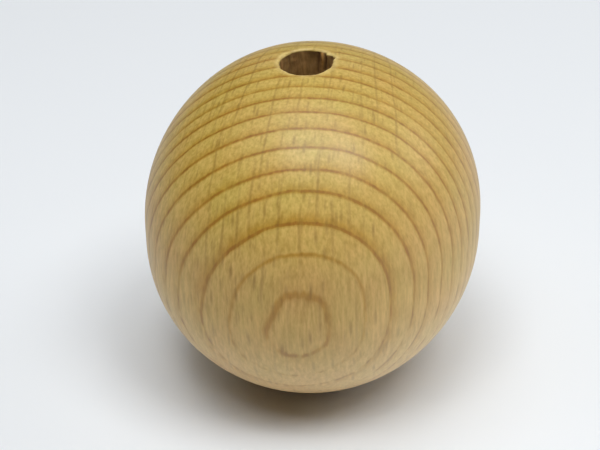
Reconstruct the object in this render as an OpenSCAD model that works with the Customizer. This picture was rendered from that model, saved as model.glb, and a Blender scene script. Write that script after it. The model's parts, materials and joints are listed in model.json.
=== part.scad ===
// A turned wooden bead: one piece of beech, drilled through along its grain.
// The bore lies along Z, and the middle of the bead is at the origin.

/* [Ball] */
// Width across the ball, measured at the belt
ball_across = 50; // [30:0.5:80]
// Height of the narrow straight belt between the two part-spheres
belt_height = 3; // [0.4:0.1:10]

/* [Bore] */
// Width of the drilled hole
bore_across = 7.6; // [3:0.1:14]
// Radius of the sanded round on both rims of the hole
rim_round = 0.4; // [0.2:0.1:1.2]

/* [Chip in the upper rim] */
// Width of the scallop that broke out of the rim
chip_across = 1.6; // [0.6:0.1:3]
// How far the chip reaches outwards from the wall of the hole
chip_reach = 0.5; // [0.2:0.1:1.2]
// How far the chip runs down the wall of the hole
chip_depth = 1.1; // [0.5:0.1:3]
// Direction of the chip around the hole, from +X towards +Y, in degrees
chip_angle = 18; // [0:1:359]

/* [Hidden] */
$fn = 180;

// Clearance by which a cutting shape stands out past the wood
cut_gap = 1;

ball_r = ball_across / 2;
bore_r = bore_across / 2;

// Each end of the ball is part of a sphere, centred this far above or below the middle
cap_z = belt_height / 2;

// Centre of the rim's round: it touches the wall of the hole and the sphere from inside
round_x = bore_r + rim_round;
round_z = cap_z + sqrt(pow(ball_r - rim_round, 2) - pow(round_x, 2));

// Highest line of the rim, which is also the circle that the bead stands on
rim_top = round_z + rim_round;

// Both ends of the ball and the belt between them, as an outline across the bore's axis
module ball_outline() {
    for (side = [-1, 1])
        translate([0, side * cap_z])
            circle(r = ball_r);
    square([ball_across, belt_height], center = true);
}

// The sharp corner that sanding takes off the upper rim, outside the round
module rim_corner() {
    slope = [round_x, round_z - cap_z] / (ball_r - rim_round);
    touch = [0, cap_z] + (ball_r + cut_gap) * slope;
    difference() {
        polygon([
            [bore_r - cut_gap, round_z],
            [round_x, round_z],
            touch,
            [bore_r - cut_gap, touch[1]],
        ]);
        translate([round_x, round_z])
            circle(r = rim_round);
    }
}

// One side of the bead's section, from the wall of the hole outwards
module half_section() {
    difference() {
        ball_outline();
        translate([-ball_across, -ball_across])
            square([ball_across + bore_r, 2 * ball_across]);
        rim_corner();
        mirror([0, 1])
            rim_corner();
    }
}

// The small scallop that broke out of the upper rim
module rim_chip() {
    rotate([0, 0, chip_angle])
        translate([bore_r + chip_reach - chip_across / 2, 0, rim_top - chip_depth])
            cylinder(d = chip_across, h = chip_depth + cut_gap);
}

module bead() {
    color([0.74, 0.61, 0.38])
        difference() {
            rotate_extrude()
                half_section();
            rim_chip();
        }
}

bead();
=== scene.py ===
"""A turned beech bead, 50 mm across, standing on the rim of its bore on a pale floor."""

import json
import math

import bpy
import numpy as np
from mathutils import Matrix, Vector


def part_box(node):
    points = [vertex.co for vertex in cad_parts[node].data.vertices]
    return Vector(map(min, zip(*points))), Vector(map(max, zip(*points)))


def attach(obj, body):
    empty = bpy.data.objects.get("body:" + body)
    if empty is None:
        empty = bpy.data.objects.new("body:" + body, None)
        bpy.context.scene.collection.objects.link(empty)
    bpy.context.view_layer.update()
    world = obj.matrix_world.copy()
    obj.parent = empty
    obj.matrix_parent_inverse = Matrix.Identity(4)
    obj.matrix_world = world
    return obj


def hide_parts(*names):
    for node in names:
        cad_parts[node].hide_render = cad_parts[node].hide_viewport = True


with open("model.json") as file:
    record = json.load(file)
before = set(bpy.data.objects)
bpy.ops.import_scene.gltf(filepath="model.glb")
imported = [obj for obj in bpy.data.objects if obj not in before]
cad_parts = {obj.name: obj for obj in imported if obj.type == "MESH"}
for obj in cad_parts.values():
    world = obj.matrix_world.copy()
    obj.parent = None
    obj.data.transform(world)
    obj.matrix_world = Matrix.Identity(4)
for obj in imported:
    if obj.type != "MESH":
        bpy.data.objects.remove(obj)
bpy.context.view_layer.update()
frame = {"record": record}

MM = 0.001

# ---------------------------------------------------------------- sizes, in millimetres
low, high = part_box("bead")
BALL_R = (high[0] - low[0]) / 2 / MM
RIM_TOP = high[2] / MM
BORE_R = frame["record"]["mounts"][0]["dims"]["r_mm"]
FLOOR_Z = low[2] / MM

# The round on a rim: sanded more on the side away from +X, and a little uneven
RIM_ROUND = 0.3
RIM_LEAN = 0.1
ROUND_UNEVEN = 0.06

# How far the hole's width varies at a rim, and how far down the wall that is felt
RIM_UNEVEN = 0.07
RIM_FADE = 1.0

# Room left at each end, so that the uneven rims stay inside the solid's box
RIM_SPARE = 0.045

# The ball's two ends are part-spheres, centred this far above and below the middle
ROUND_ABOVE_CENTRE = math.sqrt((BALL_R - RIM_ROUND) ** 2 - (BORE_R + RIM_ROUND) ** 2)
CAP_Z = RIM_TOP - RIM_SPARE - RIM_ROUND - ROUND_ABOVE_CENTRE

# The ball isn't quite round: it is drawn out by this share of its radius, up and to +X, and
# shrunk by a share of that, so that it stays inside the solid's box
OUT_OF_ROUND = 0.0177
SHRUNK = 1 / 8

# The drill came out this far from the middle of the upper end, along X and Y
DRILL_STRAY = (-0.26, 0.36)

# Round the hole the wood is drawn pale, partly bare where sanding went through and partly a painted
# highlight on the round, as far out as this, and less so over the next stretch
BARE_AND_HIGHLIGHT_WIDTH = 0.3
BARE_AND_HIGHLIGHT_FADE = 0.6

# What happened to the upper rim: each place round the hole, in degrees from +X, its width along
# the rim, how far it reaches outwards (inwards below 0), and how far down the wall
RIM_MARKS = (
    (18, 1.5, 0.5, 1.1),
    (27, 0.8, 0.25, 2.5),
    (37, 0.4, -0.22, 0.5),
    (44, 1.2, 0.25, 4.0),
    (118, 1.5, 0.08, 1.0),
    (205, 1.2, 0.1, 1.5),
    (292, 1.6, 0.07, 0.8),
)

# Slivers torn up from the wall, and the grooves that others left: each one's place in degrees,
# width, height off the wall (below 0 for a groove), length, and how light it is beside the
# rest of the wall. A sliver's lightness is lighter wood; a groove's darkness is painted shade
SLIVERS = (
    (53, 0.75, 0.16, 3.0, 1.0),
    (62, 0.6, -0.12, 8.0, -0.7),
    (44, 0.5, -0.2, 5.0, -0.8),
    (33, 0.4, 0.1, 3.5, 0.35),
    (25, 0.5, -0.1, 3.0, -0.6),
    (96, 0.9, 0.04, 5.0, 0.12),
    (131, 0.4, -0.06, 9.0, -0.35),
    (158, 0.8, 0.05, 7.0, 0.4),
)
# They reach their height this far below the rim, and sway this far to each side, this many
# radians for each mm of depth
SLIVER_STARTS = 0.3
SLIVER_SWAY = 0.12
SLIVER_SWAY_RATE = 1.3

# How far the drill left fibres standing off the wall, and how far it pulled patches in or out
FIBRES_UNEVEN = 0.05
PULLS_UNEVEN = 0.16

# How much darker the wall is just under the upper rim, and over what depth that fades
WALL_TOP_DARK = 0.4
WALL_TOP_DEPTH = 0.9

# ---------------------------------------------------------------- the bead's surface
COLUMNS = 360
CAP_ROWS = 60
BELT_ROWS = 4
ROUND_ROWS = 12
WALL_ROWS = 84


def turn_from(turn, degrees):
    """The angle between two directions round the bore, in radians, from -pi to pi."""
    return (turn - math.radians(degrees) + math.pi) % (2 * math.pi) - math.pi


def bell(distance, width):
    """A smooth hump of height 1 at distance 0, which is down to a tenth at half the width."""
    to_a_tenth = 2.3
    return np.exp(-to_a_tenth * (distance / (width / 2)) ** 2)


def ripple(turn, seed, waves, height):
    """A sum of sines round the bore, with seeded phases, that stays within the height."""
    rng = np.random.default_rng(seed)
    phases = rng.uniform(0, 2 * math.pi, len(waves))
    parts = [np.sin(n * turn + phase) for n, phase in zip(waves, phases)]
    return height * sum(parts) / len(parts)


def rim(turn, upper):
    """Radius of the hole at a rim, and the radius of the rim's round, for each direction.

    Both rims are a little uneven: a sum of sines. The upper one has its marks added as bells.
    """
    seed = 1 if upper else 2
    wall = BORE_R + ripple(turn, seed, (2, 3, 5, 9, 14, 23), RIM_UNEVEN)
    if upper:
        for place, width, reach, depth in RIM_MARKS:
            wall = wall + reach * bell(turn_from(turn, place) * BORE_R, width)
    edge = RIM_ROUND - RIM_LEAN * np.cos(turn) + ripple(turn, seed + 10, (3, 4, 7, 11), ROUND_UNEVEN)
    return wall, edge


def half_outline(wall, edge):
    """One end of the ball and its rim's round, from the belt to the wall, as radius and height.

    The end is an arc of the ball's sphere. It stops where the round, a circle that touches
    the sphere and the wall from inside, takes over and turns the surface down into the hole.
    """
    round_x = wall + edge
    round_z = CAP_Z + np.sqrt((BALL_R - edge) ** 2 - round_x**2)
    slope = np.arctan2(round_x, round_z - CAP_Z)
    share = np.sin(np.linspace(0, 1, CAP_ROWS) * math.pi / 2)[:, None]
    lean = math.pi / 2 + (slope - math.pi / 2) * share
    cap = BALL_R * np.sin(lean), CAP_Z + BALL_R * np.cos(lean)
    share = np.linspace(0, 1, ROUND_ROWS + 1)[1:, None]
    lean = slope + (-math.pi / 2 - slope) * share
    turned = round_x + edge * np.sin(lean), round_z + edge * np.cos(lean)
    return np.vstack([cap[0], turned[0]]), np.vstack([cap[1], turned[1]])


def wall_surface(turn, from_top, from_low, top_wall, low_wall):
    """Radius of the hole's wall and how light it is drawn, over direction and depth, with painted shade
    in the grooves.

    The wall is a cylinder. Near each end it takes on the rim's own radius, each of the upper
    rim's marks down to its depth, and the slivers and grooves are bells that fade downwards.
    """
    radius = BORE_R + (low_wall - BORE_R) * np.clip(1 - from_low / RIM_FADE, 0, 1)
    marks = 0
    for place, width, reach, depth in RIM_MARKS:
        mark = reach * bell(turn_from(turn, place) * BORE_R, width)
        radius = radius + mark * np.clip(1 - from_top / depth, 0, 1) ** 0.7
        marks = marks + mark
    radius = radius + (top_wall - BORE_R - marks) * np.clip(1 - from_top / RIM_FADE, 0, 1)

    light = 0 * radius - WALL_TOP_DARK * np.exp(-from_top / WALL_TOP_DEPTH)
    # Grooves are drawn darker, as painted shade, and slivers lighter, as lighter wood
    for i, (place, width, height, length, tone) in enumerate(SLIVERS):
        sway = SLIVER_SWAY * np.sin(SLIVER_SWAY_RATE * from_top + i)
        shape = bell(turn_from(turn, place) * BORE_R + sway, width)
        shape = shape * np.clip(1 - from_top / length, 0, 1) ** 0.5
        radius = radius - height * shape * np.clip(from_top / SLIVER_STARTS, 0, 1)
        light = light + tone * shape

    # Fibres run down the wall, hardly slanting. The pulled patches wander as they go down
    inside = np.clip(from_top / RIM_FADE, 0, 1) * np.clip(from_low / RIM_FADE, 0, 1)
    fibres = ripple(turn + 0.02 * from_top, 5, (17, 29, 41, 53, 67), FIBRES_UNEVEN)
    pulls = ripple(turn + 0.3 * np.sin(from_top), 6, (5, 8, 13), 1)
    pulls = pulls * ripple(from_top, 7, (2, 3, 5), PULLS_UNEVEN)
    return radius + inside * (fibres + pulls), light


def bead_surface():
    """The whole closed surface as a grid: rows follow the section, columns go round the bore.

    The section runs up the outside, over the upper rim, down the wall of the hole and round
    the lower rim. Returns x, y, z in millimetres, how much each point belongs to the hole
    (0 to 1), how light it is drawn (0 to 1, with 0.5 for plain wood, and painted shade in the
    grooves), and how pale its rim is (0 to 1), partly bare wood and partly painted highlight.
    """
    turn = np.linspace(0, 2 * math.pi, COLUMNS, endpoint=False)[None, :]
    top_wall, top_edge = rim(turn, True)
    low_wall, low_edge = rim(turn, False)
    top_r, top_z = half_outline(top_wall, top_edge)
    low_r, low_z = half_outline(low_wall, low_edge)
    belt = np.linspace(-1, 1, BELT_ROWS + 2)[1:-1, None]
    belt_r = np.full((BELT_ROWS, COLUMNS), BALL_R)
    belt_z = CAP_Z * belt + 0 * turn

    # Rows down the wall lie closer together near the rims, where the wood is torn
    share = (1 - np.cos(np.linspace(0, math.pi, WALL_ROWS + 2)[1:-1]))[:, None] / 2
    wall_z = top_z[-1] + (-low_z[-1] - top_z[-1]) * share
    wall_r, light = wall_surface(turn, top_z[-1] - wall_z, wall_z + low_z[-1], top_wall, low_wall)

    radius = np.vstack([belt_r, top_r, wall_r, low_r[::-1]])
    height = np.vstack([belt_z, top_z, wall_z, -low_z[::-1]])
    end = np.clip((np.arange(CAP_ROWS + ROUND_ROWS) - CAP_ROWS + 1) / ROUND_ROWS, 0, 1)
    drilled = np.concatenate([np.zeros(BELT_ROWS), end, np.ones(WALL_ROWS), end[::-1]])[:, None]
    lightness = np.full(radius.shape, 0.5)
    first = BELT_ROWS + len(end)
    lightness[first : first + WALL_ROWS] += 0.5 * np.clip(light, -1, 1)

    # Draw the ball out a little, but leave the hole straight
    across = radius * np.cos(turn)
    outside = (1 - drilled) * np.clip((radius - BORE_R) / (BALL_R - BORE_R), 0, 1)
    pull = OUT_OF_ROUND * outside
    x = (across + pull * height) * (1 - pull * SHRUNK)
    z = (height + pull * across) * (1 - pull * SHRUNK)

    # Paler on the rounds and a little way out from them: partly bare wood where sanding went through,
    # partly a painted highlight where the round catches the light
    nearest_rim = np.vstack([top_wall, low_wall])[(height < 0).astype(int), np.arange(COLUMNS)]
    bare = np.clip(1 - (radius - nearest_rim - BARE_AND_HIGHLIGHT_WIDTH) / BARE_AND_HIGHLIGHT_FADE, 0, 1)

    # The bore leans a little, and the skin round its upper end goes with it
    skin = np.clip((BALL_R - radius) / (BALL_R - BORE_R), 0, 1) ** 2 * (height > 0)
    lean = np.where(drilled > 0, np.clip(0.5 + 0.5 * height / RIM_TOP, 0, 1), skin)
    x = x + DRILL_STRAY[0] * lean
    y = radius * np.sin(turn) + DRILL_STRAY[1] * lean
    return x, y, z, drilled + 0 * turn, lightness, bare


def grid_mesh(name, x, y, z):
    """A closed mesh from a grid whose rows and columns both wrap round, in millimetres."""
    rows, columns = x.shape
    here = np.arange(rows * columns).reshape(rows, columns)
    right = np.roll(here, -1, axis=1)
    above = np.roll(here, -1, axis=0)
    corner = np.roll(right, -1, axis=0)
    quads = np.stack([here, right, corner, above], axis=-1).reshape(-1, 4)
    points = np.stack([x, y, z], axis=-1).reshape(-1, 3) * MM
    mesh = bpy.data.meshes.new(name)
    mesh.vertices.add(len(points))
    mesh.vertices.foreach_set("co", points.ravel())
    mesh.loops.add(quads.size)
    mesh.loops.foreach_set("vertex_index", quads.ravel())
    mesh.polygons.add(len(quads))
    mesh.polygons.foreach_set("loop_start", np.arange(0, quads.size, 4))
    mesh.polygons.foreach_set("use_smooth", np.ones(len(quads), bool))
    mesh.update(calc_edges=True)
    mesh.validate()
    return mesh


# ---------------------------------------------------------------- materials
def linear(hex_colour):
    """The linear colour of an sRGB hex value, with alpha 1."""
    parts = [int(hex_colour[i : i + 2], 16) / 255 for i in (1, 3, 5)]
    return [p / 12.92 if p <= 0.04045 else ((p + 0.055) / 1.055) ** 2.4 for p in parts] + [1]


def colour(value):
    """A linear colour with alpha 1, from an sRGB hex value, a grey level, or three levels."""
    if isinstance(value, str):
        return linear(value)
    if isinstance(value, tuple):
        return (*value, 1)
    return (value, value, value, 1)


def add(tree, kind, inputs=(), out=0, **settings):
    """Adds a node with its settings and links, and returns one of its outputs, if it has any.

    Inputs are given in their order, or by name or number. Each is a value, or the output that
    it is linked from. The setting stops fills a colour ramp, and points fills a curve, from
    pairs of position and colour or height.
    """
    node = tree.nodes.new("ShaderNode" + kind)
    for name, setting in settings.items():
        if name == "stops":
            for i, (place, value) in enumerate(setting):
                stop = node.color_ramp.elements[i] if i < 2 else node.color_ramp.elements.new(1)
                stop.position = place
                stop.color = colour(value)
        elif name == "points":
            curve = node.mapping.curves[0]
            for i, place in enumerate(setting):
                point = curve.points[i] if i < 2 else curve.points.new(*place)
                point.location = place
                point.handle_type = "VECTOR"
            node.mapping.update()
        else:
            setattr(node, name, setting)
    for key, value in inputs.items() if isinstance(inputs, dict) else enumerate(inputs):
        if isinstance(value, bpy.types.NodeSocket):
            tree.links.new(value, node.inputs[key])
        else:
            node.inputs[key].default_value = value
    return node.outputs[out] if node.outputs else None


# Settings of a Mix node that lays one colour over another, and of one that tints a colour
OVER = {"out": 2, "data_type": "RGBA"}
TINT = {"out": 2, "data_type": "RGBA", "blend_type": "MULTIPLY"}


def new_material(name):
    """An empty node material, and its tree."""
    material = bpy.data.materials.new(name)
    material.use_nodes = True
    tree = material.node_tree
    tree.nodes.clear()
    return material, tree


def on_curve(place, reach):
    """Where a place in mm falls on a curve or ramp that covers from -reach to reach."""
    return 0.5 + place / (2 * reach)


# Which way the bark lay, from straight ahead (-Y): turned towards +X, and tipped upwards
BARK_TURN = math.radians(-4.8)
BARK_TIP = math.radians(-2.5)

# How far the growth layers bend from flat, with u the mm across and w the mm along the fibres:
# a twist for each u times w, a dip for each u times w squared, and a bow for each u cubed
LAYER_TWIST = 0.0034
LAYER_DIP = -0.0001
LAYER_BOW = -0.00022

# How far they stray in mm, in slow waves, and in the short steps where fibres break their edges
LAYER_WAVE = 0.2
LAYER_STEP = 0.07

# Where each year ends, in mm in front of the bead's middle, then how dark its last line is,
# how dark the band of late wood before the line, and how wide the line is in mm
YEARS = (
    (-27.5, 0.8, 0.6, 0.5), (-25.1, 0.8, 0.5, 0.5), (-22.8, 0.9, 0.7, 0.5), (-20.7, 0.6, 0.3, 0.5),
    (-18.2, 0.9, 0.8, 0.5), (-16.0, 0.8, 0.6, 0.5), (-13.7, 0.95, 0.7, 0.5), (-11.5, 0.7, 0.5, 0.5),
    (-9.0, 0.9, 0.8, 0.5), (-6.8, 0.8, 0.5, 0.5), (-4.6, 0.75, 0.5, 0.55), (-2.3, 0.8, 0.6, 0.6),
    (0.3, 0.85, 0.7, 0.6), (2.8, 0.85, 0.75, 0.6), (5.0, 0.7, 0.6, 0.45), (7.15, 0.95, 0.8, 0.5),
    (9.45, 1.0, 0.8, 0.4), (11.9, 0.95, 0.7, 0.5), (14.3, 0.95, 0.6, 0.45), (16.8, 0.95, 0.75, 0.45),
    (18.9, 1.0, 0.7, 0.45), (21.45, 1.0, 1.0, 0.45), (23.25, 0.6, 0.1, 0.2), (24.65, 0.8, 0.25, 0.14),
    (27.1, 0.8, 0.7, 0.5),
)
# The curve of the years covers this far in front of and behind the middle, in mm, and the line
# takes up this last share of each year's stretch on it
REACH = 28
LINE_SHARE = 0.2

# How dark the line is through a year's stretch, from 0 at its start to 1, and how dark the band
LINE_STOPS = ((0.0, 0.5), (0.07, 0.0), (1 - LINE_SHARE, 0.0), (0.91, 1.0), (0.97, 1.0), (1.0, 0.5))
BAND_STOPS = ((0.05, 0.0), (0.48, 0.03), (0.66, 0.26), (0.79, 0.5), (0.9, 0.68), (1.0, 0.68))

# Early wood, late wood, and the line that ends a year
WOOD_STOPS = ((0.0, "#D4B163"), (0.5, "#C09538"), (1.0, "#A67018"))

# The rays, the painted light low down and to the right, the sanded rims' pale colour with its painted
# highlight, and the drilled wall
RAY_BROWN = "#977024"
PAINTED_LIGHT_PINK = "#E8CBA6"
BARE_WOOD_AND_HIGHLIGHT = "#DAC37E"
WALL_STOPS = ((0.3, "#6E4C24"), (0.7, "#B08654"))

# Uneven patterns in the wood: the size of each in mm across, outwards and along the fibres, and
# how many finer patterns it carries
PATTERNS = {
    # The layers' slow waves, and the steps at their edges
    "wave": ((7, 12, 12), 2.0),
    "step": ((0.5, 0.5, 4), 2.0),
    # Stronger and weaker patches of late wood, and the slow drift of the wood's colour
    "patch": ((1, 1, 3), 1.0),
    "drift": ((5, 5, 9), 3.0),
    # How the rays stray from straight, and where there are more of them
    "stray": ((6, 9, 8), 1.0),
    "some": ((6, 9, 9), 1.0),
    # Bundles of fibres, and pores. Real pores are under 0.1 mm, too fine to show, so these are wider
    "fibre": ((0.5, 0.5, 5), 2.0),
    "pore": ((0.25, 0.25, 0.9), 1.0),
    # Blotches on the drilled wall and on the bare rim
    "blotch": ((1.2, 1.2, 1.6), 3.0),
}
PORE_SHARE = 0.3

# The tints that two of the patterns give the wood, from where each is low to where it is high
DRIFT_STOPS = ((0.3, (0.97, 1.02, 0.96)), (0.7, (1.03, 0.98, 1.02)))
FIBRE_STOPS = ((0.32, (0.79, 0.76, 0.52)), (0.68, (1.11, 1.13, 1.23)))

# The pith lies this far behind the bead's middle, and this far to its right, in mm
PITH_BACK = 60
PITH_ASIDE = 6

# Rays lie in cells. Long rays, short rays, and flecks: how the cells lie (2D ones have no end
# outwards), their spacing in mm across, along the fibres and outwards, the share of a cell where
# a ray starts to fade and where it has gone, and its strength
RAYS = (
    ("2D", 1.1, 28.0, 1.0, 0.05, 0.21, 0.42),
    ("3D", 0.5, 3.6, 8.0, 0.1, 0.36, 0.27),
    ("3D", 0.85, 6.5, 4.0, 0.06, 0.28, 0.62),
)
# How far rays stray in mm, across, outwards and along
RAY_STRAY = (1.2, 0, 1.2)
# Long and short rays are stronger in some parts, by the pattern's levels and their strengths
# there, and high on the left: the gain in level for each mm across, outwards and along
SOME_RAYS = (0.35, 0.7, 0.3, 1.15)
RAY_GAIN = (-0.011, 0, 0.012)
# Long rays and flecks fade out between these distances from the middle, in mm across
RAY_FADE = (12.0, 17.0)

# The slow changes along and across the wood cover this far each way from the middle, in mm
HALF = 25.0

# How strongly the late wood shows: distance above the middle in mm, then the share of it
ALONG_STRENGTHS = (
    (-20, 0.55), (-14, 0.78), (-7, 0.8), (-2, 0.7), (3, 0.75), (9, 0.92), (14, 1.02), (22, 1.06),
)
# It is in soft patches above the first of these heights in mm, and in broken ones below the
# second. Each kind of patch turns the pattern's first two levels into the last two
BROKEN_BELOW = (4.0, -6.0)
EVEN_PATCH = (0.3, 0.7, 0.7, 1.15)
BROKEN_PATCH = (0.38, 0.62, 0.15, 1.35)

# Slow change of colour along the fibres: distance above the middle in mm, then what the red,
# green and blue are multiplied by. The paler, bluer stretch below the middle is painted reflection
# of the lit floor, the yellower wood above the middle and pinker below are partly painted light,
# and the darker ends are end grain
ALONG_TONES = (
    (-24, (0.85, 0.79, 0.76)), (-20, (0.97, 0.93, 0.95)), (-16, (1.05, 1.05, 1.12)),
    (-10, (1.01, 1.0, 1.02)), (-5, (0.955, 0.91, 0.885)), (5, (0.905, 0.845, 0.765)),
    (12.5, (0.935, 0.93, 0.83)), (18, (0.93, 0.96, 0.81)), (22, (0.89, 0.93, 0.77)),
    (25, (0.85, 0.89, 0.74)),
)

# Painted light: the wood turns paler and pinker downwards, as painted reflection of the lit floor, and
# to the right, as painted light from that side: from and to which place in mm, and how far it has
# turned at each
PINK_LOW = (-18.0, 2.0, 0.4, 0.0)
PINK_RIGHT = (0.0, 14.0, 0.0, 0.12)

# Painted light from the right: distance to the right in mm, then how far the wood turns paler
# low down and yellower high up, and those two tints with the heights between which they change
ACROSS_TONES = ((-22, 0.6), (-13, 0.1), (-6, 0.0), (2, 0.0), (13, 0.85), (22, 1.0))
SIDE_STOPS = ((0.0, (1.12, 1.17, 1.21)), (1.0, (0.97, 0.94, 0.91)))
SIDE_HEIGHTS = (2.0, 15.0)

# The drilled wall's tints, from its darkest grooves, whose darkness is painted shade, through plain
# wall to its lightest slivers, the share of plain wood in its colour, and where the wall takes
# over from the rim's round
LIGHTNESS_STOPS = ((0.0, (0.45, 0.4, 0.34)), (0.5, 1.0), (1.0, (2.1, 1.85, 1.5)))
WOOD_IN_WALL = 0.15
WALL_STARTS = ((0.86, 0.0), (1.0, 1.0))

# The blotches' levels, and how much of the rims' pale colour, bare wood and painted highlight, shows at
# each
WORN_AND_HIGHLIGHT = (0.3, 0.65, 0.2, 0.75)

# Roughness of the sealed wood, what the fibres add to it, and what the drilled wall adds
ROUGH_WOOD = 0.58
ROUGH_FIBRES = 0.12
ROUGH_WALL = 0.3

# Height of the fibres under the sealer in mm, and, as shares of it, how far late wood stands up
# and rays lie deeper
FIBRE_HEIGHT = 0.006
LATE_STANDS = 0.5
RAYS_LIE = -0.5

# Dry wood under a thin, satin sealer
FINISH = {
    "IOR": 1.5,
    "Specular IOR Level": 0.4,
    "Coat Weight": 0.5,
    "Coat Roughness": 0.32,
    "Coat IOR": 1.5,
}


def grain_axes():
    """Unit directions across the rays, out towards the bark, and along the fibres."""
    outwards = np.array([
        math.sin(BARK_TURN) * math.cos(BARK_TIP),
        -math.cos(BARK_TURN) * math.cos(BARK_TIP),
        math.sin(BARK_TIP),
    ])
    across = np.array([math.cos(BARK_TURN), math.sin(BARK_TURN), 0])
    return across, outwards, np.cross(outwards, across)


def beech():
    """Unsteamed European beech, turned, sanded and thinly sealed.

    It gives the eye pale straw wood, a brown line and a warm shade at the end of each year,
    and the dark dashes of its rays, under a soft satin gloss.
    """
    material, tree = new_material("sanded_beech")
    place = add(tree, "TexCoord", out="Object")
    place = add(tree, "VectorMath", {0: place, "Scale": 1 / MM}, operation="SCALE")
    u, h, w = (
        add(tree, "VectorMath", (place, tuple(axis)), out=1, operation="DOT_PRODUCT")
        for axis in grain_axes()
    )
    grain = add(tree, "CombineXYZ", (u, h, w))
    noise = {}
    for name, (size, detail) in PATTERNS.items():
        at = add(tree, "VectorMath", (grain, [1 / mm for mm in size]), operation="MULTIPLY")
        noise[name] = add(tree, "TexNoise", {"Vector": at, "Scale": 1.0, "Detail": detail})

    # Depth of the growth layer that a point lies in, in mm in front of the middle
    uw = add(tree, "Math", (u, w), operation="MULTIPLY")
    uww = add(tree, "Math", (uw, w), operation="MULTIPLY")
    uuu = add(tree, "Math", (u, 3.0), operation="POWER")
    depth = h
    for bend, amount in ((uw, LAYER_TWIST), (uww, LAYER_DIP), (uuu, LAYER_BOW)):
        depth = add(tree, "Math", (bend, amount, depth), operation="MULTIPLY_ADD")
    for name, amount in (("wave", LAYER_WAVE), ("step", LAYER_STEP)):
        swing = add(tree, "Math", (noise[name], 0.5), operation="SUBTRACT")
        depth = add(tree, "Math", (swing, amount * 2, depth), operation="MULTIPLY_ADD")

    # Years counted from the back, and how far through its year each point is
    count = len(YEARS) - 1
    share = add(tree, "Math", (depth, 0.5 / REACH, 0.5), operation="MULTIPLY_ADD")
    ends = [(on_curve(YEARS[0][0], REACH), 0.0)]
    for i, (end, dark, shade, wide) in enumerate(YEARS[1:]):
        ends.append((on_curve(end - wide, REACH), (i + 1 - LINE_SHARE) / count))
        ends.append((on_curve(end, REACH), (i + 1) / count))
    years = add(tree, "FloatCurve", {"Value": share}, points=ends)
    years = add(tree, "Math", (years, float(count)), operation="MULTIPLY")
    season = add(tree, "Math", (years,), operation="FRACT")
    year = add(tree, "Math", (years,), operation="FLOOR")
    year = add(tree, "Math", (year, 1 / count, 0.5 / count), operation="MULTIPLY_ADD")

    # The line and the band of late wood, each as dark as its own year has it
    late = []
    for stops, column in ((LINE_STOPS, 1), (BAND_STOPS, 2)):
        through_year = add(tree, "ValToRGB", (season,), stops=stops)
        of_year = [((i + 0.5) / count, row[column]) for i, row in enumerate(YEARS[1:])]
        of_year = add(tree, "FloatCurve", {"Value": year}, points=of_year)
        late.append(add(tree, "Math", (through_year, of_year), operation="MULTIPLY"))
    late = add(tree, "Math", late, operation="MAXIMUM")

    # The late wood is patchy, more so low down, and its strength changes along the fibres
    even = add(tree, "MapRange", (noise["patch"], *EVEN_PATCH))
    broken = add(tree, "MapRange", (noise["patch"], *BROKEN_PATCH))
    low_down = add(tree, "MapRange", (w, *BROKEN_BELOW))
    patch = add(tree, "Mix", {0: low_down, 2: even, 3: broken})
    length = add(tree, "MapRange", (w, -HALF, HALF))
    strength = [(on_curve(at, HALF), level) for at, level in ALONG_STRENGTHS]
    strength = add(tree, "ValToRGB", (length,), stops=strength)
    late = add(tree, "Math", (late, patch), operation="MULTIPLY")
    late = add(tree, "Math", (late, strength), operation="MULTIPLY")
    wood = add(tree, "ValToRGB", (late,), stops=WOOD_STOPS)
    drift = add(tree, "ValToRGB", (noise["drift"],), stops=DRIFT_STOPS)
    wood = add(tree, "Mix", {0: 1.0, 6: wood, 7: drift}, **TINT)

    # Rays: ribbons that fan out from the pith to the bark, thin across and longer along the fibres
    stray = noise["stray"].node.outputs["Color"]
    bent = add(tree, "VectorMath", (stray, RAY_STRAY, grain), operation="MULTIPLY_ADD")
    bent_u, bent_h, bent_w = add(tree, "SeparateXYZ", (bent,)).node.outputs
    from_pith = add(tree, "Math", (bent_h, 1 / PITH_BACK, 1.0), operation="MULTIPLY_ADD")
    fan = add(tree, "Math", (bent_u, PITH_ASIDE), operation="SUBTRACT")
    fan = add(tree, "Math", (fan, from_pith), operation="DIVIDE")
    fan = add(tree, "CombineXYZ", (fan, bent_w, bent_h))
    rays = []
    for reach, across_mm, along_mm, out_mm, thin, gone, strength in RAYS:
        spacing = (1 / across_mm, 1 / along_mm, 1 / out_mm)
        at = add(tree, "VectorMath", (fan, spacing), operation="MULTIPLY")
        cells = add(tree, "TexVoronoi", {"Vector": at, "Scale": 1.0}, voronoi_dimensions=reach)
        rays.append(add(tree, "ValToRGB", (cells,), stops=((thin, strength), (gone, 0.0))))
    long_ray, short_ray, fleck = rays

    # Long and short rays are stronger in some parts than in others. Long rays and flecks fade
    # towards the two sides, where they would lie flat in the surface
    gain = add(tree, "VectorMath", (grain, RAY_GAIN), out=1, operation="DOT_PRODUCT")
    some = add(tree, "Math", (noise["some"], gain), operation="ADD")
    some = add(tree, "MapRange", (some, *SOME_RAYS))
    sideways = add(tree, "Math", (u,), operation="ABSOLUTE")
    sideways = add(tree, "MapRange", (sideways, *RAY_FADE, 1.0, 0.0))
    ray = add(tree, "Math", (long_ray, sideways), operation="MULTIPLY")
    ray = add(tree, "Math", (ray, short_ray), operation="MAXIMUM")
    ray = add(tree, "Math", (ray, some), operation="MULTIPLY")
    fleck = add(tree, "Math", (fleck, sideways), operation="MULTIPLY")
    ray = add(tree, "Math", (ray, fleck), operation="MAXIMUM")
    wood = add(tree, "Mix", {0: ray, 6: wood, 7: linear(RAY_BROWN)}, **OVER)

    # Fine fibres and pores
    fibre = add(tree, "Mix", {0: PORE_SHARE, 2: noise["fibre"], 3: noise["pore"]})
    streak = add(tree, "ValToRGB", (fibre,), stops=FIBRE_STOPS)
    wood = add(tree, "Mix", {0: 1.0, 6: wood, 7: streak}, **TINT)
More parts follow.
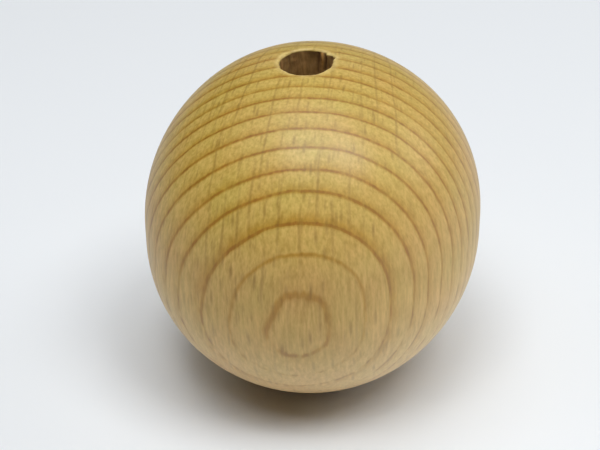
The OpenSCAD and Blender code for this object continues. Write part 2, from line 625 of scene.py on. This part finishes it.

    # Painted light: the wood is paler and pinker low down, as painted reflection of the lit floor, and
    # to the right, as painted light from that side. It is yellower above the middle, partly painted
    # light, and darker where the fibres end round the two rims
    pink_low = add(tree, "MapRange", (w, *PINK_LOW))
    pink = add(tree, "MapRange", (u, *PINK_RIGHT))
    pink = add(tree, "Math", (pink_low, pink), operation="ADD")
    wood = add(tree, "Mix", {0: pink, 6: wood, 7: linear(PAINTED_LIGHT_PINK)}, **OVER)
    tone = [(on_curve(at, HALF), levels) for at, levels in ALONG_TONES]
    tone = add(tree, "ValToRGB", (length,), stops=tone)
    wood = add(tree, "Mix", {0: 1.0, 6: wood, 7: tone}, **TINT)
    width = add(tree, "MapRange", (u, -HALF, HALF))
    side = [(on_curve(at, HALF), share) for at, share in ACROSS_TONES]
    side = add(tree, "FloatCurve", {"Value": width}, points=side)
    height = add(tree, "MapRange", (w, *SIDE_HEIGHTS))
    tone = add(tree, "ValToRGB", (height,), stops=SIDE_STOPS)
    wood = add(tree, "Mix", {0: side, 6: wood, 7: tone}, **TINT)

    # The drilled wall is rougher, browner and blotched, with slivers of lighter wood and painted
    # shade in its grooves
    drilled = add(tree, "Attribute", out="Fac", attribute_name="drilled")
    lightness = add(tree, "Attribute", out="Fac", attribute_name="lightness")
    inner = add(tree, "ValToRGB", (noise["blotch"],), stops=WALL_STOPS)
    inner = add(tree, "Mix", {0: WOOD_IN_WALL, 6: inner, 7: wood}, **OVER)
    tone = add(tree, "ValToRGB", (lightness,), stops=LIGHTNESS_STOPS)
    inner = add(tree, "Mix", {0: 1.0, 6: inner, 7: tone}, **TINT)

    # The rims show pale: partly bare, sanded wood and partly a painted highlight on their rounds
    bare = add(tree, "Attribute", out="Fac", attribute_name="bare")
    worn_and_highlight = add(tree, "MapRange", (noise["blotch"], *WORN_AND_HIGHLIGHT))
    bare = add(tree, "Math", (bare, worn_and_highlight), operation="MULTIPLY")
    wood = add(tree, "Mix", {0: bare, 6: wood, 7: linear(BARE_WOOD_AND_HIGHLIGHT)}, **OVER)
    deep = add(tree, "ValToRGB", (drilled,), stops=WALL_STARTS)
    wood = add(tree, "Mix", {0: deep, 6: wood, 7: inner}, **OVER)

    rough = add(tree, "Math", (fibre, ROUGH_FIBRES, ROUGH_WOOD), operation="MULTIPLY_ADD")
    rough = add(tree, "Math", (deep, ROUGH_WALL, rough), operation="MULTIPLY_ADD")
    relief = add(tree, "Math", (late, LATE_STANDS, fibre), operation="MULTIPLY_ADD")
    relief = add(tree, "Math", (ray, RAYS_LIE, relief), operation="MULTIPLY_ADD")
    bump = add(tree, "Bump", {"Height": relief, "Strength": 1.0, "Distance": FIBRE_HEIGHT * MM})
    skin = {"Base Color": wood, "Roughness": rough, "Normal": bump, **FINISH}
    surface = add(tree, "BsdfPrincipled", skin)
    add(tree, "OutputMaterial", {"Surface": surface})
    return material


# The floor's colour near the bead, and the floor's and the room's colour far away
NEAR_COLOUR = "#EBEFF3"
FAR_COLOUR = "#E6EAEE"

# Where the floor turns from one to the other, in metres from the bead's middle
FAR_RANGE = (0.28, 0.6)

PAPER_ROUGHNESS = 0.9


def pale_paper():
    """Matt white backdrop paper, which gives the eye a plain, very slightly cool floor.

    Far from the bead, where the lamps don't reach, a camera sees it at one pale level. Seen
    from below it is clear, so that the underside of the bead can be looked at.
    """
    material, tree = new_material("pale_paper")
    lit = add(tree, "BsdfPrincipled", {"Base Color": linear(NEAR_COLOUR), "Roughness": PAPER_ROUGHNESS})
    plain = add(tree, "Emission", {"Color": linear(FAR_COLOUR), "Strength": 1.0})
    place = add(tree, "TexCoord", out="Object")
    distance = add(tree, "VectorMath", (place,), out=1, operation="LENGTH")
    far = add(tree, "MapRange", (distance, *FAR_RANGE))
    seen = add(tree, "LightPath", out="Is Camera Ray")
    far = add(tree, "Math", (far, seen), operation="MULTIPLY")
    surface = add(tree, "MixShader", (far, lit, plain))
    below = add(tree, "NewGeometry", out="Backfacing")
    clear = add(tree, "BsdfTransparent")
    surface = add(tree, "MixShader", (below, surface, clear))
    add(tree, "OutputMaterial", {"Surface": surface})
    return material


# ---------------------------------------------------------------- pieces
def put(name, data):
    """Adds an object with this data to the scene, at the origin."""
    obj = bpy.data.objects.new(name, data)
    bpy.context.scene.collection.objects.link(obj)
    return obj


x, y, z, drilled, lightness, bare = bead_surface()
bead_mesh = grid_mesh("turned_bead", x, y, z)
for name, values in (("drilled", drilled), ("lightness", lightness), ("bare", bare)):
    bead_mesh.attributes.new(name, "FLOAT", "POINT").data.foreach_set("value", values.ravel())
bead = put("turned_bead", bead_mesh)
bead_mesh.materials.append(beech())
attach(bead, "root")
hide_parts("bead")

# The floor's half width, in metres
FLOOR_HALF = 2.0
floor_mesh = bpy.data.meshes.new("floor")
corners = [(-1, -1), (1, -1), (1, 1), (-1, 1)]
points = [(FLOOR_HALF * a, FLOOR_HALF * b, FLOOR_Z * MM) for a, b in corners]
floor_mesh.from_pydata(points, [], [(0, 1, 2, 3)])
floor = put("floor", floor_mesh)
floor_mesh.materials.append(pale_paper())


# ---------------------------------------------------------------- studio
def aim(obj, at, towards, roll=0.0):
    """Puts a lamp or camera at a point and turns its -Z axis towards another, then rolls it."""
    at = np.array(at, float)
    forward = np.array(towards, float) - at
    forward /= np.linalg.norm(forward)
    right = np.cross(forward, [0, 0, 1])
    right /= np.linalg.norm(right)
    up = np.cross(right, forward)
    c, s = math.cos(roll), math.sin(roll)
    right, up = c * right - s * up, s * right + c * up
    matrix = np.eye(4)
    matrix[:3, :3] = np.column_stack([right, up, -forward])
    matrix[:3, 3] = at
    obj.matrix_world = Matrix(matrix.tolist())


def sky_point(turn, tip, distance):
    """A point at this distance from the bead: turned from -Y towards +X, and tipped up."""
    a, e = math.radians(turn), math.radians(tip)
    return distance * np.array([math.sin(a) * math.cos(e), -math.cos(a) * math.cos(e), math.sin(e)])


def soft_box(name, turn, tip, distance, width, depth, watts):
    """A rectangular white lamp that faces the bead, with its width level."""
    lamp = bpy.data.lights.new(name, "AREA")
    lamp.shape = "RECTANGLE"
    lamp.size = width
    lamp.size_y = depth
    lamp.energy = watts
    aim(put(name, lamp), sky_point(turn, tip, distance), (0, 0, 0))


# Each lamp's place (turned from -Y towards +X, tipped up), distance, width and depth in m, watts
LAMPS = (
    ("overhead", 0, 88, 0.8, 0.5, 0.5, 2.6),
    ("key", -20, 68, 0.8, 0.3, 0.3, 1.6),
    ("right_key", 50, 62, 0.8, 0.3, 0.3, 2.3),
    ("right_fill", 100, 28, 0.9, 0.5, 0.4, 1.33),
    ("left_fill", -90, 60, 0.9, 0.5, 0.5, 0.75),
    ("back_fill", 180, 26, 0.9, 0.6, 0.4, 0.45),
)
for lamp in LAMPS:
    soft_box(*lamp)

# The room itself gives hardly any light, and a camera that looks past the floor sees it pale
ROOM_COLOUR = "#F2F6FA"
ROOM_LEVEL = 0.015
world = bpy.data.worlds.new("studio")
bpy.context.scene.world = world
world.use_nodes = True
room = world.node_tree
room.nodes.clear()
dim = add(room, "Background", {"Color": linear(ROOM_COLOUR), "Strength": ROOM_LEVEL})
pale = add(room, "Background", {"Color": linear(FAR_COLOUR), "Strength": 1.0})
seen = add(room, "LightPath", out="Is Camera Ray")
sky = add(room, "MixShader", (seen, dim, pale))
add(room, "OutputWorld", {"Surface": sky})

# The camera looks down at the bead from ten of its radii away, in metres. The focal length and
# the place of the bead's middle, from the left and from the top, are in pixels of the view
CAMERA_TIP = 33.14
CAMERA_DISTANCE = 0.25
CAMERA_ROLL = math.radians(1.85)
VIEW_PX = (600, 450)
FOCAL_PX = 1669.9
MIDDLE_AT_PX = (312.2, 217.7)
SENSOR_MM = 36
# Nothing nearer to the camera than this is drawn, in metres
CLIP_START = 0.01

camera_data = bpy.data.cameras.new("camera")
camera_data.sensor_width = SENSOR_MM
camera_data.lens = SENSOR_MM * FOCAL_PX / VIEW_PX[0]
camera_data.clip_start = CLIP_START
camera = put("camera", camera_data)
bpy.context.scene.camera = camera
eye = sky_point(0, CAMERA_TIP, CAMERA_DISTANCE)
forward = -eye / np.linalg.norm(eye)
right = np.array([1.0, 0, 0])
up = np.cross(right, forward)
off_x = (MIDDLE_AT_PX[0] - VIEW_PX[0] / 2) / FOCAL_PX * CAMERA_DISTANCE
off_y = (MIDDLE_AT_PX[1] - VIEW_PX[1] / 2) / FOCAL_PX * CAMERA_DISTANCE
c, s = math.cos(CAMERA_ROLL), math.sin(CAMERA_ROLL)
target = -off_x * (c * right - s * up) + off_y * (s * right + c * up)
aim(camera, eye, target, CAMERA_ROLL)

bpy.context.scene.view_settings.view_transform = "Standard"
